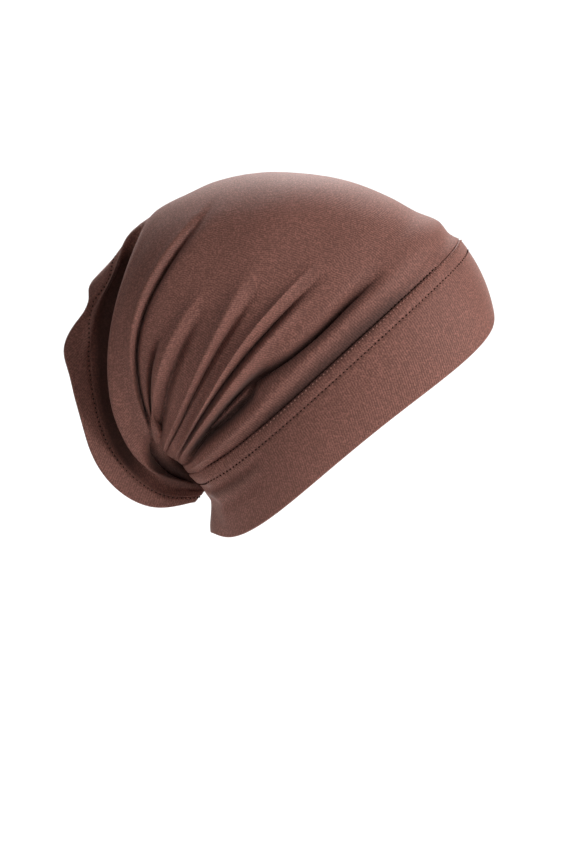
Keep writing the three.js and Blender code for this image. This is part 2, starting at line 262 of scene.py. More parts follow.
# Waves of the hem's free edge. out: share of HEM_RUFFLE; span: half width, a share of the rise
Wave = namedtuple("Wave", "rise out span left")
HEM_WAVES = [
    Wave(0.480, -0.20, 0.130, 0.6),
    Wave(0.780, 0.45, 0.090, -0.3),
    Wave(0.910, -1.00, 0.070, 1.0),
]

# The studio: paper that runs back as a floor and bends up, and lamps that look at a target
PAPER_FRONT = -2.0
PAPER_FLOOR = 5.0
PAPER_BEND = 0.8
PAPER_LENGTH = 10.0
PAPER_HALF_WIDTH = 6
WORLD_LIGHT = 0.05
Lamp = namedtuple("Lamp", "name size place target")
KEY_LAMP = Lamp("key_light", 0.45, (0.05, 0.85, 1.25), (-0.03, 0, 0.05))
SIDE_LAMP = Lamp("side_light", 0.7, (1.2, -0.65, 0.55), (0, 0, 0.03))
FILL_LAMP = Lamp("fill_light", 1.6, (1.2, -2.2, 1.4), (-0.05, 0, 0.03))
TAIL_LAMP = Lamp("tail_light", 0.8, (-1.8, -0.9, 1.3), (-0.15, 0, 0.05))
PAPER_LAMP = Lamp("paper_light", 3.0, (0, 2.6, 2.4), (0, 3.9, 0))

# The picture: its pixels, the cap's size in each of them, and the pixel of the cap's origin
PICTURE = (576, 864)
PIXEL = 0.66 * MM
ORIGIN_PIXEL = (352, 421)
SENSOR = 36


class CapLook(bpy.types.PropertyGroup):
    """Sizes and colours of the cap's cloth and thread"""

    jersey: FloatVectorProperty(
        name="Jersey",
        description="Colour of the knitted cloth",
        subtype="COLOR",
        size=3,
        min=0,
        max=1,
        default=(0.250, 0.104, 0.080),
    )
    # Near black: the thread's colour together with the painted shade of its stitch holes
    thread: FloatVectorProperty(
        name="Thread",
        description="Colour of the sewing thread",
        subtype="COLOR",
        size=3,
        min=0,
        max=1,
        default=(0.040, 0.018, 0.013),
    )
    seam_thread: FloatVectorProperty(
        name="Seam thread",
        description="Colour of the join seam's thread, which shows between the two edges",
        subtype="COLOR",
        size=3,
        min=0,
        max=1,
        default=(0.42, 0.21, 0.17),
    )
    wale_pitch: FloatProperty(
        name="Wale pitch",
        description="Distance between the knit's lengthwise ribs",
        unit="LENGTH",
        default=1.7 * MM,
    )
    course_pitch: FloatProperty(
        name="Course pitch",
        description="Distance between the knit's rows of loops",
        unit="LENGTH",
        default=0.9 * MM,
    )
    stitch_pitch: FloatProperty(
        name="Stitch pitch",
        description="Length of one machine stitch with its gap",
        unit="LENGTH",
        default=3.1 * MM,
    )
    thread_width: FloatProperty(
        name="Thread width",
        description="Thickness of the sewing thread",
        unit="LENGTH",
        default=1.1 * MM,
    )
    seam_groove: FloatProperty(
        name="Seam groove",
        description="How deep the join seam and the stitch rows sink into the cloth",
        unit="LENGTH",
        default=1.1 * MM,
    )
    around: IntProperty(
        name="Steps around",
        description="Faces round the crown's tube",
        default=250,
    )


class StageLook(bpy.types.PropertyGroup):
    """Floor, light and camera of the studio"""

    floor: FloatVectorProperty(
        name="Floor",
        description="Colour of the paper floor and backdrop",
        subtype="COLOR",
        size=3,
        min=0,
        max=1,
        default=(0.93, 0.93, 0.93),
    )
    floor_height: FloatProperty(
        name="Floor height",
        description="Height of the floor, with the cap held above it",
        unit="LENGTH",
        default=-0.45,
    )
    camera_distance: FloatProperty(
        name="Camera distance",
        description="From the camera to the cap's middle plane",
        unit="LENGTH",
        default=3.0,
    )
    key_power: FloatProperty(
        name="Key light",
        description="Power of the soft light above and behind the cap, in watts",
        default=18.5,
    )
    side_power: FloatProperty(
        name="Side light",
        description="Power of the soft light in front of the brow, in watts",
        default=20.0,
    )
    fill_power: FloatProperty(
        name="Fill light",
        description="Power of the wide weak light beside the camera, in watts",
        default=2.5,
    )
    tail_power: FloatProperty(
        name="Tail light",
        description="Power of the faint light on the tail, in watts",
        default=9.0,
    )
    paper_power: FloatProperty(
        name="Paper light",
        description="Power of the large light on the backdrop, in watts",
        default=110.0,
    )


def polar(start, angle, distance):
    """A point (x, z) of the middle plane, at an angle and distance from another."""
    return start[0] + distance * np.cos(angle), start[1] + distance * np.sin(angle)


OPENING_FOOT = polar((0, 0), OPENING_TILT + math.pi, OPENING_LENGTH / 2)
OPENING_TOP = polar((0, 0), OPENING_TILT, OPENING_LENGTH / 2)
NAPE = polar(OPENING_FOOT, OPENING_TILT + math.pi / 2 - BAND_LEAN_NAPE, BAND_NAPE)
BROW = polar(OPENING_TOP, OPENING_TILT + math.pi / 2 - BAND_LEAN_FRONT, BAND_FRONT)
SEAM_ANGLE = math.atan2(BROW[1] - NAPE[1], BROW[0] - NAPE[0])
SEAM_REACH = math.hypot(BROW[0] - NAPE[0], BROW[1] - NAPE[1])


def smooth(t):
    """Runs from 0 to 1 with level ends as t does."""
    t = np.clip(t, 0, 1)
    return t * t * (3 - 2 * t)


def within(zone, place):
    """1 inside a zone and 0 outside, with smooth ends."""
    grown = smooth((place - zone.begin) / zone.grow)
    return grown * (1 - smooth((place - zone.end) / zone.fade))


def bell(distance, width):
    """A rounded hump of height 1 at distance 0."""
    return np.exp(-((distance / width) ** 2))


def rise_of(turn):
    """How high up its rib a turn lies, from 0 at the foot to 1 at the top."""
    return (1 - np.cos(turn)) / 2


def column(name, at):
    """One column of the rib table between its rows, by a smooth curve through them."""
    places = np.array([rib.at for rib in RIBS])
    values = np.array([getattr(rib, name) for rib in RIBS])
    after = np.minimum(np.arange(len(RIBS)) + 1, len(RIBS) - 1)
    before = np.maximum(np.arange(len(RIBS)) - 1, 0)
    slopes = (values[after] - values[before]) / (places[after] - places[before])
    row = np.clip(np.searchsorted(places, at, side="right") - 1, 0, len(RIBS) - 2)
    step = places[row + 1] - places[row]
    t = (at - places[row]) / step
    start = values[row] * (1 + 2 * t) + slopes[row] * step * t
    end = values[row + 1] * (3 - 2 * t) - slopes[row + 1] * step * (1 - t)
    return start * (1 - t) ** 2 + end * t**2


def rib_point(foot, top, bow, wide, full, turn):
    """Points of ribs. Each rib's side view is the sine series through its bow's three values."""
    low, mid, high = bow
    round_turn = np.mod(turn, 2 * math.pi)
    half = np.minimum(round_turn, 2 * math.pi - round_turn)
    chord_x, chord_z = top[0] - foot[0], top[1] - foot[1]
    chord = np.hypot(chord_x, chord_z)
    ends = (low + high) / math.sqrt(2)
    out = (ends + mid) / 2 * np.sin(half)
    out += (low - high) / 2 * np.sin(2 * half)
    out += (ends - mid) / 2 * np.sin(3 * half)
    out *= 1 - bell(half, END_SOFTENING)
    out *= 1 - bell(math.pi - half, END_SOFTENING)
    side = np.where(round_turn <= math.pi, -1, 1)
    x = foot[0] + chord_x * rise_of(half) - chord_z / chord * out
    y = side * wide * np.maximum(np.sin(half), 0) ** (1 / full)
    z = foot[1] + chord_z * rise_of(half) + chord_x / chord * out
    return np.stack([x, y, z], -1)


def rib_ends(at):
    """Foot and top (x, z) of the rib at a place along the crown."""
    foot = (NAPE[0] - column("back", at) * GATHER_DEPTH, NAPE[1] + column("up", at) * GATHER_DEPTH)
    top = polar(NAPE, SEAM_ANGLE + TAIL_SWING * at, SEAM_REACH - column("fall", at) * TAIL_FALL)
    return foot, top


def plain_crown(at, turn):
    """The crown without its folds; towards the hem it waves in and out."""
    at, turn = np.broadcast_arrays(at, turn)
    foot, top = rib_ends(at)
    bow = [column(name, at) * TAIL_SAG for name in ("low", "mid", "high")]
    wide = column("wide", at) * HEAD_WIDTH / 2
    point = rib_point(foot, top, bow, wide, column("full", at), turn)
    out = np.zeros(at.shape)
    for wave in HEM_WAVES:
        side = np.where(np.mod(turn, 2 * math.pi) <= math.pi, 1, wave.left)
        out += wave.out * side * bell(rise_of(turn) - wave.rise, wave.span)
    chord_x, chord_z = top[0] - foot[0], top[1] - foot[1]
    reach = out * HEM_RUFFLE * smooth((at - WAVES_START) / (1 - WAVES_START))
    reach /= np.hypot(chord_x, chord_z)
    point[..., 0] -= chord_z * reach
    point[..., 2] += chord_x * reach
    return point


def outward(face, along, turn):
    """Unit normals of a face, out of the cap."""
    across_turn = face(along, turn + PROBE) - face(along, turn - PROBE)
    across_along = face(along + PROBE, turn) - face(along - PROBE, turn)
    normal = np.cross(across_turn, across_along)
    return normal / np.linalg.norm(normal, axis=-1, keepdims=True)


def nape_roll(rise):
    """Height of the roll that the gathered cloth makes round its lowest points."""
    return ROLL_HEIGHT * within(ROLL_RISES, rise)


def fold_shape(fold, at, turn):
    """Distance from a fold's line in spans, and its strength there from 0 to 1.

    The line runs from foot over mid to tip, with a rounded corner at mid.
    """
    rise = rise_of(turn)
    way = np.clip((rise - fold.begin) / (fold.end - fold.begin), 0, 1)
    past = 2 * way - 1
    bend = np.hypot(past, FOLD_BEND)
    low = fold.foot + (fold.mid - fold.foot) * (1 - (bend - past) / 2)
    middle = low + (fold.tip - fold.mid) * (bend + past) / 2
    faded = smooth((way - FOLD_FADE_FROM) / (1 - FOLD_FADE_FROM))
    strength = smooth((rise - fold.begin) / FOLD_GROW) * (1 - faded)
    strength = strength * np.where(turn <= math.pi, 1, fold.left)
    return (at - middle) / fold.span, strength


def cavity_shape(at, rise):
    """The hollow behind the nape, between the folds' tips and the tail, from 0 to 1."""
    slanted = at + CAVITY_SLANT * rise - CAVITY_AT
    return within(CAVITY_RISES, rise) * bell(slanted, CAVITY_SPAN)


def fold_height(at, turn):
    """Height of the folds above the plain crown."""
    turn = np.mod(turn, 2 * math.pi)
    height = np.zeros(np.broadcast(at, turn).shape)
    for fold in FOLDS:
        away, strength = fold_shape(fold, at, turn)
        height += fold.height * FOLD_HEIGHT * np.exp(-(np.abs(away) ** fold.crisp)) * strength
    rise = rise_of(turn)
    height -= CAVITY_DEPTH * cavity_shape(at, rise)
    return height + nape_roll(rise) * (1 - smooth((at - ROLL_ENDS_AT) / ROLL_FADE))


def shaded(shade, along, turn):
    """How dark a painted shade makes a place of the cloth."""
    return shade.dark * within(shade.rises, rise_of(turn)) * bell(along - shade.place, shade.span)


def crown_shade(at, turn):
    """How dark the shade painted into the crown's creases is, from 0 to 1: cavity, sunk seam, pinch and
    valleys.
    """
    turn = np.mod(turn, 2 * math.pi)
    dark = shaded(CAVITY_SHADE, at, turn) + shaded(PINCH_SHADE, at, turn)
    dark = dark + shaded(CROWN_SEAM_SHADE, np.maximum(at, 0), turn)
    for fold in FOLDS:
        if fold.height < 0:
            away, strength = fold_shape(fold, at, turn)
            dark = dark - VALLEY_SHADE * fold.height * bell(away, 1) * strength
    return np.clip(dark, 0, 1)


def fold_lap(at, turn):
    """How far along the crown the cloth beside the valleys is pulled over them."""
    turn = np.mod(turn, 2 * math.pi)
    pull = np.zeros(np.broadcast(at, turn).shape)
    for fold in FOLDS:
        if fold.lap:
            away, strength = fold_shape(fold, at, turn)
            back = -away * math.copysign(1, fold.lap)
            edge = smooth(back / LAP_EDGE) * bell(np.maximum(back - LAP_EDGE, 0), LAP_REACH)
            pull += fold.lap * fold.span * edge * strength
    return pull


def crown_face(at, turn):
    """The crown's outer face, with its folds."""
    at, turn = np.broadcast_arrays(at, turn)
    pulled = at + fold_lap(at, turn)
    inside = np.clip(pulled, CROWN_NEAR_SEAM, 1 - CROWN_NEAR_SEAM)
    height = fold_height(at, turn)[..., None]
    return plain_crown(pulled, turn) + outward(plain_crown, inside, turn) * height


def flat_band(up, turn):
    """The straight strip between the opening's edge (0) and the join seam (1)."""
    bow = [OPENING.low * OPENING_SAG, OPENING.mid * OPENING_SAG, OPENING.high * OPENING_SAG]
    edge = rib_point(OPENING_FOOT, OPENING_TOP, bow, OPENING.wide * HEAD_WIDTH / 2, OPENING.full, turn)
    foot, top = rib_ends(0.0)
    rib = RIBS[0]
    bow = [rib.low * TAIL_SAG, rib.mid * TAIL_SAG, rib.high * TAIL_SAG]
    seam = rib_point(foot, top, bow, rib.wide * HEAD_WIDTH / 2, rib.full, turn)
    point = edge + (seam - edge) * np.asarray(up)[..., None]
    fade = 1 - smooth(rise_of(turn) / FLARE_RISE)
    point[..., 0] += NAPE_FLARE * np.sin(math.pi * np.maximum(up, 0) ** FLARE_SKEW) * fade
    return point


def band_face(up, turn):
    """The band's outer face."""
    up, turn = np.broadcast_arrays(up, turn)
    rise = rise_of(turn)
    belly = BAND_BULGE * 4 * up * (1 - up) * smooth(rise / BELLY_FROM)
    belly = belly + nape_roll(rise) * smooth((up - ROLL_ON_BAND_FROM) / ROLL_ON_BAND_GROW)
    return flat_band(up, turn) + outward(flat_band, up, turn) * belly[..., None]


def share_of(face, along, turn):
    """How much `along` changes over one metre square to the face's lines."""
    ahead = face(along + PROBE, turn) - face(along, turn)
    sideways = face(along, turn + PROBE) - face(along, turn - PROBE)
    sideways /= np.linalg.norm(sideways, axis=-1, keepdims=True)
    return PROBE / np.linalg.norm(np.cross(ahead, sideways), axis=-1)


def past_seam(distance, measured_at=BAND_NEAR_SEAM):
    """The line of the band's face at a distance past the join seam, or before it if below 0."""
    return lambda turn: 1 + distance * share_of(band_face, measured_at, turn)


def past_crown_end(distance):
    """The line of the crown's face at a distance past the place where the hem begins."""
    return lambda turn: HEM_START + distance * share_of(crown_face, HEM_START, turn)


HEM_START = float(1 - HEM_WIDTH * share_of(crown_face, CROWN_NEAR_HEM, math.pi / 2))


def wall_profile(thickness, outer_ways, inner_steps, round_steps):
    """Profile of a wall with round edges, as rows of (way, inset, depth).

    way runs from the wall's first line (0) to its last (1), inset is the distance that the row
    keeps from the nearer line, and depth is how far it lies under the outer face.
    """
    half = thickness / 2
    rows = []
    for k in range(round_steps):
        angle = math.pi / 2 * k / round_steps
        rows.append((0, half * (1 - math.cos(angle)), half * (1 - math.sin(angle))))
    for way in outer_ways:
        rows.append((way, half, 0))
    for k in range(1, 2 * round_steps):
        angle = math.pi / 2 * (1 - k / round_steps)
        rows.append((1, half * (1 - math.cos(angle)), half * (1 - math.sin(angle))))
    for k in range(inner_steps, -1, -1):
        rows.append((k / inner_steps, half, thickness))
    for k in range(1, round_steps):
        angle = -math.pi / 2 * (1 - k / round_steps)
        rows.append((0, half * (1 - math.cos(angle)), half * (1 - math.sin(angle))))
    return rows


def even_ways(steps):
    """Evenly spaced rows of a wall's outer face."""
    return np.linspace(0, 1, steps + 1)


def folded_ways(steps):
    """Rows of the crown's outer face, set closer together where the folds are."""
    fine = np.linspace(0, 1, WAY_STEPS)
    sums = np.cumsum(1 + DENSER_ROWS * within(FOLDED_PART, fine))
    return np.interp(np.linspace(sums[0], sums[-1], steps + 1), sums, fine)


def seam_cut(turn):
    """The direction halfway between the band's and the crown's normals at the join seam."""
    both = outward(band_face, BAND_NEAR_SEAM, turn) + outward(crown_face, CROWN_PAST_SEAM, turn)
    return both / np.linalg.norm(both, axis=-1, keepdims=True)


def wall_points(face, first, last, profile, turns, sink=0.0, relief=None, mitre_at=None):
    """Points of a wall's profile at every turn, and where along the face each of them lies.

    first and last give the wall's two lines for the turns; sink moves the whole wall inward;
    relief(distance from the first line, distance from the last line, turn) raises the cloth;
    mitre_at says which of its lines (0 or 1) is the join seam, where both walls share a cut.
    """
    start, end = first(turns), last(turns)
    start_share = share_of(face, start + PROBE, turns)
    end_share = share_of(face, end - 2 * PROBE, turns)
    way, inset, depth = (np.array(values)[:, None] for values in zip(*profile))
    along = start + inset * start_share
    along = along + (end - inset * end_share - along) * way
    from_first, from_last = (along - start) / start_share, (end - along) / end_share
    direction = face_normals(face, start, end, turns, way[:, 0])
    if mitre_at is not None:
        near = 1 - smooth((from_last if mitre_at else from_first) / MITRE_REACH)
        direction = direction + (seam_cut(turns) - direction) * near[..., None]
        direction /= np.linalg.norm(direction, axis=-1, keepdims=True)
    height = -depth - sink
    if relief is not None:
        height = height + relief(from_first, from_last, turns)
    places = face(along, turns[None, :])
    return places + direction * np.broadcast_to(height, along.shape)[..., None], along


def face_normals(face, start, end, turns, ways):
    """Unit normals of a face between two lines, from the steps between its points."""
    grid = np.linspace(0, 1, NORMAL_STEPS)
    places = face(start + (end - start) * grid[:, None], turns[None, :])
    around = np.roll(places, -1, axis=1) - np.roll(places, 1, axis=1)
    normals = np.cross(around, np.gradient(places, axis=0))
    normals /= np.linalg.norm(normals, axis=-1, keepdims=True)
    place = ways * (len(grid) - 1)
    row = np.minimum(place.astype(int), len(grid) - 2)
    part = (place - row)[:, None, None]
    normals = normals[row] * (1 - part) + normals[row + 1] * part
    return normals / np.linalg.norm(normals, axis=-1, keepdims=True)


def add_object(name, data):
    """Puts a mesh, a light or the camera in the scene."""
    thing = bpy.data.objects.new(name, data)
    bpy.context.scene.collection.objects.link(thing)
    return thing


def ring_object(name, points, material, painted_shades=None):
    """A closed ring of cloth through rows of points, welded where the rows and rings meet."""
    rows, around = points.shape[:2]
    builder = bmesh.new()
    builder.loops.layers.uv.new("Cloth")
    # Each point's painted shade, from 0 to 1, goes into this attribute, which darkens the jersey's
    # colour
    depth = builder.verts.layers.float.new("Crease")
    if painted_shades is None:
        painted_shades = np.zeros(points.shape[:2])
    bmesh.ops.create_grid(builder, x_segments=around, y_segments=rows, size=0.5, calc_uvs=True)
    flat = np.array([vert.co[:2] for vert in builder.verts]) + 0.5
    column_index = np.rint(flat[:, 0] * around).astype(int) % around
    row_index = np.rint(flat[:, 1] * rows).astype(int) % rows
    for vert, row, k in zip(builder.verts, row_index, column_index):
        vert.co = points[row, k]
        vert[depth] = painted_shades[row, k]
    bmesh.ops.remove_doubles(builder, verts=builder.verts, dist=1e-7)
    mesh = bpy.data.meshes.new(name)
    builder.to_mesh(mesh)
    builder.free()
    set_cloth_uv(mesh, points)
    mesh.shade_smooth()
    mesh.materials.append(material)
    return add_object(name, mesh)


def set_cloth_uv(mesh, points):
    """Turns the grid's UV into metres of cloth: U round the tube, V along it."""
    rows, around = points.shape[:2]
    closed = np.concatenate([points, points[:, :1]], axis=1)
    around_steps = np.linalg.norm(np.diff(closed, axis=1), axis=-1)
    across = np.concatenate([np.zeros((rows, 1)), np.cumsum(around_steps, axis=1)], axis=1)
    across *= (across[:, -1].max() / across[:, -1])[:, None]
    closed_rows = np.concatenate([points, points[:1]], axis=0)
    along_steps = np.linalg.norm(np.diff(closed_rows, axis=0), axis=-1).mean(axis=1)
    along = np.concatenate([[0], np.cumsum(along_steps)])
    layer = mesh.uv_layers["Cloth"]
    flat = np.zeros(len(layer.data) * 2, np.float32)
    layer.data.foreach_get("uv", flat)
    flat = flat.reshape(-1, 2)
    column_index = np.rint(flat[:, 0] * around).astype(int)
    row_index = np.rint(flat[:, 1] * rows).astype(int)
    flat[:, 0] = across[row_index % rows, column_index]
    flat[:, 1] = along[row_index]
    layer.data.foreach_set("uv", flat.ravel())


def turns_around(count):
    """Evenly spaced turns, once round the tube."""
    return np.arange(count) * 2 * math.pi / count


def even_path(face, line, pitch):
    """Points, directions and normals at even distances round a line of a face."""
    fine = np.linspace(0, 2 * math.pi, PATH_STEPS)
    places = face(line(fine), fine)
    lengths = np.concatenate([[0], np.cumsum(np.linalg.norm(np.diff(places, axis=0), axis=1))])
    count = round(lengths[-1] / pitch)
    turns = np.interp(np.arange(count) * lengths[-1] / count, lengths, fine)
    points = face(line(turns), turns)
    after, before = turns + PROBE, turns - PROBE
    ahead = face(line(after), after) - face(line(before), before)
    ahead /= np.linalg.norm(ahead, axis=1, keepdims=True)
    return points, ahead, outward(face, line(turns), turns)


def stitch_row(name, path, material, length, width, lift):
    """A row of machine stitches, each a small rounded bar of thread pressed into the cloth."""
    dice = random.Random(len(name))
    one = bmesh.new()
    bmesh.ops.create_uvsphere(one, u_segments=6, v_segments=6, radius=1)
    bar = bpy.data.meshes.new("stitch")
    one.to_mesh(bar)
    one.free()
    row = bmesh.new()
    for point, ahead, normal in zip(*path):
        turned = dice.uniform(-STITCH_WANDER, STITCH_WANDER)
        forward = ahead + np.cross(normal, ahead) * turned
        forward /= np.linalg.norm(forward)
        side = np.cross(normal, forward)
        place = Matrix.Identity(4)
        for k, axis in enumerate((forward * length / 2, side * width / 2, normal * width / 2)):
            place.col[k] = Vector((*axis, 0))
        place.col[3] = Vector((*(point + normal * lift), 1))
        bar.transform(place)
        row.from_mesh(bar)
        bar.transform(place.inverted())
    mesh = bpy.data.meshes.new(name)
    row.to_mesh(mesh)
    row.free()
    bpy.data.meshes.remove(bar)
    mesh.shade_smooth()
    mesh.materials.append(material)
    return add_object(name, mesh)


class NodeChain:
    """Adds shader nodes and links them with short calls."""

    def __init__(self, material):
        material.use_nodes = True
        self.tree = material.node_tree
        self.shader = self.tree.nodes["Principled BSDF"]

    def feed(self, socket, value):
        """Links a socket to another, or sets its number or colour."""
        if isinstance(value, bpy.types.NodeSocket):
            self.tree.links.new(value, socket)
        else:
            socket.default_value = value

    def math(self, operation, *values):
        node = self.tree.nodes.new("ShaderNodeMath")
        node.operation = operation
        for socket, value in zip(node.inputs, values):
            self.feed(socket, value)
        return node.outputs[0]

    def noise(self, vector, scale, detail=2.0):
        node = self.tree.nodes.new("ShaderNodeTexNoise")
        self.feed(node.inputs["Vector"], vector)
        node.inputs["Scale"].default_value = scale
        node.inputs["Detail"].default_value = detail
        return node.outputs["Fac"]

    def remap(self, value, low, high, to_low, to_high):
        """Stretches a value's range from low and high to another."""
        node = self.tree.nodes.new("ShaderNodeMapRange")
        names = ("Value", "From Min", "From Max", "To Min", "To Max")
        for name, number in zip(names, (value, low, high, to_low, to_high)):
            self.feed(node.inputs[name], number)
        return node.outputs["Result"]

    def mix(self, factor, first, second):
        """Mixes two colours, which a Mix node takes at its inputs 6 and 7."""
        node = self.tree.nodes.new("ShaderNodeMix")
        node.data_type = "RGBA"
        self.feed(node.inputs[0], factor)
        self.feed(node.inputs[6], first)
        self.feed(node.inputs[7], second)
        return node.outputs[2]

    def bump(self, height, distance, strength, normal=None):
        node = self.tree.nodes.new("ShaderNodeBump")
        node.inputs["Strength"].default_value = strength
        node.inputs["Distance"].default_value = distance
        self.feed(node.inputs["Height"], height)
        if normal is not None:
            self.feed(node.inputs["Normal"], normal)
        return node.outputs["Normal"]

    def coordinates(self):
        """The place in the object, and the place on the cloth."""
        node = self.tree.nodes.new("ShaderNodeTexCoord")
        return node.outputs["Object"], node.outputs["UV"]

    def attribute(self, name):
        node = self.tree.nodes.new("ShaderNodeAttribute")
        node.attribute_name = name
        return node.outputs["Fac"]

    def parts(self, vector):
        """The first two numbers of a vector."""
        node = self.tree.nodes.new("ShaderNodeSeparateXYZ")
        self.feed(node.inputs[0], vector)
        return node.outputs[0], node.outputs[1]


def jersey_material(look, name, tone):
    """Fine jersey: lengthwise wales of slanting loops, with fibre grain, a soft sheen and the shade
    painted into its creases.
    """
    material = bpy.data.materials.new(name)
    chain = NodeChain(material)
    place, cloth = chain.coordinates()
    across, along = chain.parts(cloth)

    def toned(factor):
        return (*[min(c * tone * factor, 1) for c in look.jersey], 1)

    wales = chain.math("MULTIPLY", across, 1 / look.wale_pitch)
    in_wale = chain.math("ABSOLUTE", chain.math("SUBTRACT", chain.math("FRACT", wales), 0.5))
    courses = chain.math("MULTIPLY", along, 1 / look.course_pitch)
    slanted = chain.math("ADD", courses, chain.math("MULTIPLY", in_wale, LOOP_SLANT))
    loops = chain.math("SINE", chain.math("MULTIPLY", slanted, 2 * math.pi))
    rib = chain.math("COSINE", chain.math("MULTIPLY", in_wale, math.pi))
    height = chain.math("ADD", rib, chain.math("MULTIPLY", loops, LOOP_SHARE))

    fibre = chain.noise(place, FIBRE_SCALE, 3)
    patches = chain.noise(place, PATCH_SCALE, 3)
    dark = toned(DARK_TONE)
    # Painted shade: the grooves between the wales, where the bump sinks, are darkened towards the dark
    # tone
    shade = chain.mix(chain.remap(rib, 0.0, 1.0, 1.0, 0.0), toned(1), dark)
    shade = chain.mix(chain.remap(fibre, 0.36, 0.50, 0.6, 0.0), shade, dark)
    shade = chain.mix(chain.remap(fibre, 0.50, 0.66, 0.0, 0.6), shade, toned(LIGHT_TONE))
    shade = chain.mix(chain.remap(patches, 0.35, 0.7, 0.0, 0.12), shade, dark)
    # Painted shade: the stored shade of the creases darkens the colour towards the deep tone
    painted_shade_factor = chain.remap(chain.attribute("Crease"), 0.0, 1.0, 0.0, PAINTED_SHADE_STRENGTH)
    shade = chain.mix(painted_shade_factor, shade, toned(PAINTED_SHADE_TONE))
    chain.feed(chain.shader.inputs["Base Color"], shade)

    grain = chain.bump(fibre, 0.10 * MM, 0.5)
    chain.feed(chain.shader.inputs["Normal"], chain.bump(height, 0.16 * MM, 0.6, grain))
    chain.shader.inputs["Roughness"].default_value = 0.66
    chain.shader.inputs["Specular IOR Level"].default_value = 0.25
    chain.shader.inputs["Sheen Weight"].default_value = 0.18
    chain.shader.inputs["Sheen Roughness"].default_value = 0.45
    chain.shader.inputs["Sheen Tint"].default_value = (0.95, 0.66, 0.58, 1)
    return material


def thread_material(name, colour):
    """Twisted sewing thread."""
    material = bpy.data.materials.new(name)
    chain = NodeChain(material)
    place, _ = chain.coordinates()
    twist = chain.noise(place, TWIST_SCALE, 2)
    dark = (*[c * THREAD_DARK_TONE for c in colour], 1)
    shade = chain.mix(chain.remap(twist, 0.4, 0.65, 0.0, 1.0), (*colour, 1), dark)
    chain.feed(chain.shader.inputs["Base Color"], shade)
    chain.feed(chain.shader.inputs["Normal"], chain.bump(twist, 0.08 * MM, 0.6))
    chain.shader.inputs["Roughness"].default_value = 0.8
    chain.shader.inputs["Specular IOR Level"].default_value = 0.1
    return material


def crown_jersey(look):
    """The jersey of the crown and the hem, made on its first use."""
    return bpy.data.materials.get("jersey_crown") or jersey_material(look, "jersey_crown", 1)


def band_jersey(look):
    """The jersey of the band and its allowance, a trace lighter, made on its first use."""
    return bpy.data.materials.get("jersey_band") or jersey_material(look, "jersey_band", BAND_TONE)


def own(piece, slot_name, *nodes):
    """Fixes a finished piece to the cap's body and hides the imported parts that it stands for."""
    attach(piece, "root")
    if nodes:
        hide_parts(*nodes)
    return piece


class CAP_OT_crown(bpy.types.Operator):
    """Make the crown: one layer of jersey from the join seam to the tail's hem"""

    bl_idname = "underscarf.crown"
    bl_label = "Crown"

    def execute(self, context):
        look = context.scene.cap_look
        turns = turns_around(look.around)

        def tucked(turn):
            return within(TUCK_RISES, rise_of(turn))

        def first_line(turn):
            reach = SEAM_OPENING - SEAM_TUCK * tucked(turn)
            return reach * share_of(crown_face, CROWN_NEAR_SEAM, turn)

        def relief(from_edge, _, turn):
            rise = rise_of(turn)
            from_seam = np.maximum(from_edge - SEAM_TUCK * tucked(turn), 0)
            sunk = SEAM_SINK * (1 - smooth(from_seam / SEAM_LIP)) * tucked(turn)
            hollow = bell(from_seam, HOLLOW_WIDTH) - bell(from_seam, SEAM_LIP)
            loss = HOLLOW_LOSS * smooth((rise - HOLLOW_LOSS_FROM) / HOLLOW_LOSS_GROW)
            depth = smooth(rise / SEAM_GROW) * (1 - loss)
            return -sunk - look.seam_groove * HOLLOW_SHARE * hollow * depth

        points, along = wall_points(
            crown_face,
            first_line,
            past_crown_end(HEM_OVERLAP),
            wall_profile(JERSEY_WALL, folded_ways(270), inner_steps=95, round_steps=3),
            turns,
            relief=relief,
            mitre_at=0,
        )
        # Shade painted into the crown's colour in its creases, cavity, sunk seam and pinch
        painted_shades = crown_shade(along, turns[None, :])
        own(ring_object("crown_cloth", points, crown_jersey(look), painted_shades), "jersey", "crown")
        return {"FINISHED"}


class CAP_OT_band(bpy.types.Operator):
    """Make the doubled forehead band, raised over its seam allowance down to the topstitching"""

    bl_idname = "underscarf.band"
    bl_label = "Forehead band"

    def execute(self, context):
        look = context.scene.cap_look
        turns = turns_around(BAND_AROUND)
        waves = 2 * math.pi / look.stitch_pitch

        def relief(_, from_seam, turn):
            rise = rise_of(turn)
            brow = smooth((rise - BROW_FROM) / BROW_GROW)
            past_row = from_seam - ALLOWANCE_WIDTH
            strip = STRIP_HEIGHT * (1 - smooth((past_row - STRIP_EDGE) / STRIP_STEP))
            puckers = 1 - PUCKER_SHARE + PUCKER_SHARE * np.cos(turn * waves * PUCKER_RADIUS)
            row_dip = TOPSTITCH_DIP_SHARE * bell(past_row, TOPSTITCH_DIP_WIDTH) * puckers
            seam_dip = bell(from_seam, SEAM_DIP_WIDTH)
            dips = look.seam_groove * (row_dip + seam_dip) * smooth(rise / SEAM_GROW)
            dents = sum(depth * bell(past_row - place, width) for depth, place, width in NAPE_DENTS)
            flatter = strip * (1 - STRIP_LOSS * brow) - dips * (1 - DIP_LOSS * brow)
            return flatter - dents * within(DENT_RISES, rise)

        points, along = wall_points(
            band_face,
            lambda turn: np.zeros(turn.shape),
            lambda turn: np.ones(turn.shape),
            wall_profile(BAND_WALL, even_ways(84), inner_steps=24, round_steps=4),
            turns,
            relief=relief,
            mitre_at=1,
        )
        # Shade painted into the band's colour beside the join seam and in the nape's dents
        painted_shades = shaded(BAND_SEAM_SHADE, along, turns) + shaded(DENT_SHADE, along, turns)
        own(ring_object("band_cloth", points, band_jersey(look), painted_shades), "jersey", "front_band")
        return {"FINISHED"}


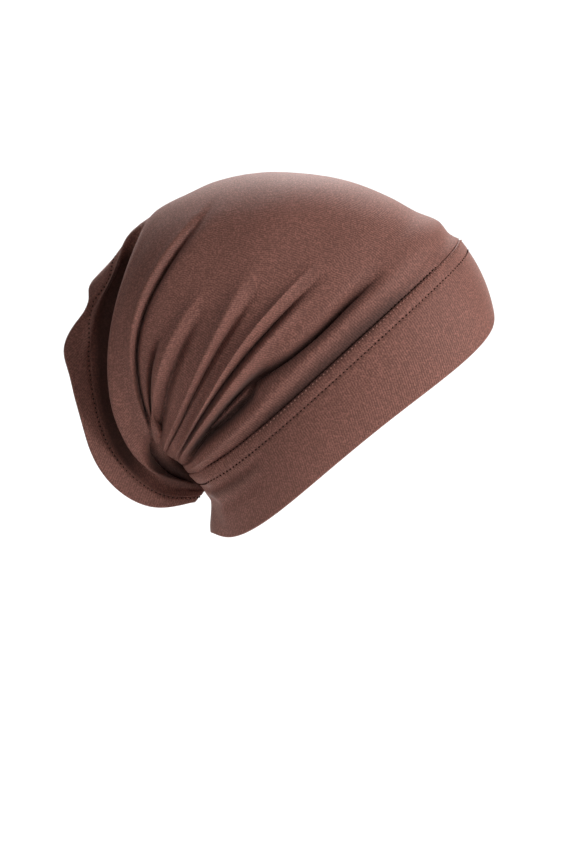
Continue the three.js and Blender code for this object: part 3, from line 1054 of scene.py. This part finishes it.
class CAP_OT_allowance(bpy.types.Operator):
    """Make the seam allowance, pressed down inside the band and lapped under the crown's edge"""

    bl_idname = "underscarf.allowance"
    bl_label = "Seam allowance"

    def execute(self, context):
        look = context.scene.cap_look

        def under_tuck(_, from_end, __):
            near = 1 - smooth((from_end - UNDER_TUCK_REACH) / UNDER_TUCK_STEP)
            return -(JERSEY_WALL + 2 * GAP) * near

        points, _ = wall_points(
            band_face,
            past_seam(-ALLOWANCE_WIDTH, BAND_NEAR_TOPSTITCH),
            past_seam(SEAM_TUCK),
            wall_profile(ALLOWANCE_WALL, even_ways(20), inner_steps=16, round_steps=3),
            turns_around(ALLOWANCE_AROUND),
            sink=BAND_WALL + GAP,
            relief=under_tuck,
        )
        piece = ring_object("allowance_cloth", points, band_jersey(look))
        own(piece, "jersey", "seam_allowance")
        return {"FINISHED"}


class CAP_OT_hem(bpy.types.Operator):
    """Make the turned hem round the tail's open end"""

    bl_idname = "underscarf.hem"
    bl_label = "Tail hem"

    def execute(self, context):
        look = context.scene.cap_look

        def relief(from_crown, _, __):
            return -HEM_DIP_SHARE * look.seam_groove * bell(from_crown - HEM_STITCH_LINE, HEM_DIP_WIDTH)

        points, _ = wall_points(
            crown_face,
            lambda turn: np.full(turn.shape, HEM_START),
            lambda turn: np.ones(turn.shape),
            wall_profile(HEM_WALL, even_ways(26), inner_steps=12, round_steps=4),
            turns_around(look.around),
            relief=relief,
        )
        own(ring_object("hem_cloth", points, crown_jersey(look)), "jersey", "back_hem")
        return {"FINISHED"}


# lift: height above the cloth's face; filled: the share of the pitch that the thread fills
StitchRow = namedtuple("StitchRow", "name face line lift filled thread")


class CAP_OT_stitches(bpy.types.Operator):
    """Make the stitch rows: the join seam's, the dark loops over it that paint the shade of its groove,
    the topstitching and the hem's
    """

    bl_idname = "underscarf.stitches"
    bl_label = "Stitch rows"

    def execute(self, context):
        look = context.scene.cap_look
        # The dark thread is near black, painting the shade of the stitch holes along with the thread
        dark = thread_material("dark_thread", look.thread)
        light = thread_material("light_thread", look.seam_thread)
        join_line, loop_line = past_seam(JOIN_STITCH_LINE), past_seam(JOIN_LOOP_LINE)
        topstitch_line = past_seam(TOPSTITCH_LINE, BAND_NEAR_TOPSTITCH)
        hem_line = past_crown_end(HEM_STITCH_LINE)
        rows = [
            StitchRow("join_stitches", band_face, join_line, 0.20 * MM, 0.42, light),
            # Dark thread loops sunk in the join seam's groove, which paint its shade as well as its
            # loops
            StitchRow("join_loops", band_face, loop_line, -1.10 * MM, 0.60, dark),
            StitchRow("band_stitches", band_face, topstitch_line, -0.10 * MM, 0.50, dark),
            StitchRow("hem_stitches", crown_face, hem_line, -0.35 * MM, 0.40, dark),
        ]
        for row in rows:
            path = even_path(row.face, row.line, look.stitch_pitch)
            length = look.stitch_pitch * row.filled
            piece = stitch_row(row.name, path, row.thread, length, look.thread_width, row.lift)
            own(piece, "thread")
        return {"FINISHED"}


class CAP_OT_declare(bpy.types.Operator):
    """Finishes at once; it says nothing about the cloth's sizes"""

    bl_idname = "underscarf.declare"
    bl_label = "Cloth sizes"

    def execute(self, context):
        return {"FINISHED"}


def paper_material(colour):
    """Pale studio paper."""
    material = bpy.data.materials.new("studio_paper")
    chain = NodeChain(material)
    place, _ = chain.coordinates()
    grain = chain.noise(place, 6, 2)
    shade = chain.mix(chain.remap(grain, 0.3, 0.7, 0.0, 0.04), (*colour, 1), (0.8, 0.8, 0.8, 1))
    chain.feed(chain.shader.inputs["Base Color"], shade)
    chain.shader.inputs["Roughness"].default_value = 0.9
    return material


def add_lamp(lamp, power):
    """Adds a square soft light that looks at its target."""
    data = bpy.data.lights.new(lamp.name, "AREA")
    data.energy = power
    data.size = lamp.size
    light = add_object(lamp.name, data)
    light.location = lamp.place
    ahead = Vector(lamp.target) - Vector(lamp.place)
    light.rotation_euler = ahead.to_track_quat("-Z", "Y").to_euler()


class CAP_OT_stage(bpy.types.Operator):
    """Make the pale floor and backdrop, the soft lights and the camera"""

    bl_idname = "underscarf.stage"
    bl_label = "Stage"

    def execute(self, context):
        stage = context.scene.stage_look
        self.make_paper(stage)
        add_lamp(KEY_LAMP, stage.key_power)
        add_lamp(SIDE_LAMP, stage.side_power)
        add_lamp(FILL_LAMP, stage.fill_power)
        add_lamp(TAIL_LAMP, stage.tail_power)
        add_lamp(PAPER_LAMP, stage.paper_power)
        world = bpy.data.worlds.new("studio_world")
        world.use_nodes = True
        background = world.node_tree.nodes["Background"]
        background.inputs["Color"].default_value = (1, 1, 1, 1)
        background.inputs["Strength"].default_value = WORLD_LIGHT
        context.scene.world = world
        context.scene.view_settings.view_transform = "Standard"
        self.make_camera(context.scene, stage)
        return {"FINISHED"}

    def make_paper(self, stage):
        """Floor that turns up into a backdrop in one smooth bend."""
        builder = bmesh.new()
        bmesh.ops.create_grid(builder, x_segments=2, y_segments=60, size=1)
        for vert in builder.verts:
            way = (vert.co.y + 1) / 2 * PAPER_LENGTH
            turned = min(max(way - PAPER_FLOOR, 0), PAPER_BEND * math.pi / 2) / PAPER_BEND
            climb = max(way - PAPER_FLOOR - PAPER_BEND * math.pi / 2, 0)
            y = PAPER_FRONT + min(way, PAPER_FLOOR) + PAPER_BEND * math.sin(turned)
            z = stage.floor_height + PAPER_BEND * (1 - math.cos(turned)) + climb
            vert.co = (vert.co.x * PAPER_HALF_WIDTH, y, z)
        mesh = bpy.data.meshes.new("studio_paper")
        builder.to_mesh(mesh)
        builder.free()
        mesh.shade_smooth()
        mesh.materials.append(paper_material(stage.floor))
        add_object("studio_paper", mesh)

    def make_camera(self, scene, stage):
        """A long lens that looks straight at the cap's right side."""
        data = bpy.data.cameras.new("camera")
        data.sensor_fit = "VERTICAL"
        data.sensor_height = SENSOR
        data.lens = SENSOR * stage.camera_distance / (PICTURE[1] * PIXEL)
        camera = add_object("camera", data)
        x = (PICTURE[0] / 2 - ORIGIN_PIXEL[0]) * PIXEL
        z = (ORIGIN_PIXEL[1] - PICTURE[1] / 2) * PIXEL
        camera.location = (x, -stage.camera_distance, z)
        camera.rotation_euler = (math.pi / 2, 0, 0)
        scene.camera = camera


class CAP_PT_panel(bpy.types.Panel):
    """Lists the cap's pieces and their sizes in the sidebar"""

    bl_idname = "CAP_PT_panel"
    bl_label = "Underscarf cap"
    bl_space_type = "VIEW_3D"
    bl_region_type = "UI"
    bl_category = "Cap"

    def draw(self, context):
        for group in (context.scene.cap_look, context.scene.stage_look):
            for name in group.__annotations__:
                self.layout.prop(group, name)
        for operator in OPERATORS:
            self.layout.operator(operator.bl_idname)


OPERATORS = (
    CAP_OT_crown,
    CAP_OT_band,
    CAP_OT_allowance,
    CAP_OT_hem,
    CAP_OT_stitches,
    CAP_OT_declare,
    CAP_OT_stage,
)
CLASSES = (CapLook, StageLook, *OPERATORS, CAP_PT_panel)


def register():
    """Registers the classes and gives the scene their settings."""
    for cls in CLASSES:
        bpy.utils.register_class(cls)
    bpy.types.Scene.cap_look = PointerProperty(type=CapLook)
    bpy.types.Scene.stage_look = PointerProperty(type=StageLook)


def unregister():
    """Takes the settings and the classes away again."""
    del bpy.types.Scene.stage_look
    del bpy.types.Scene.cap_look
    for cls in reversed(CLASSES):
        bpy.utils.unregister_class(cls)


def main():
    """Builds every piece in order."""
    register()
    bpy.ops.underscarf.crown()
    bpy.ops.underscarf.band()
    bpy.ops.underscarf.allowance()
    bpy.ops.underscarf.hem()
    bpy.ops.underscarf.stitches()
    bpy.ops.underscarf.declare()
    bpy.ops.underscarf.stage()


if __name__ == "__main__":
    main()
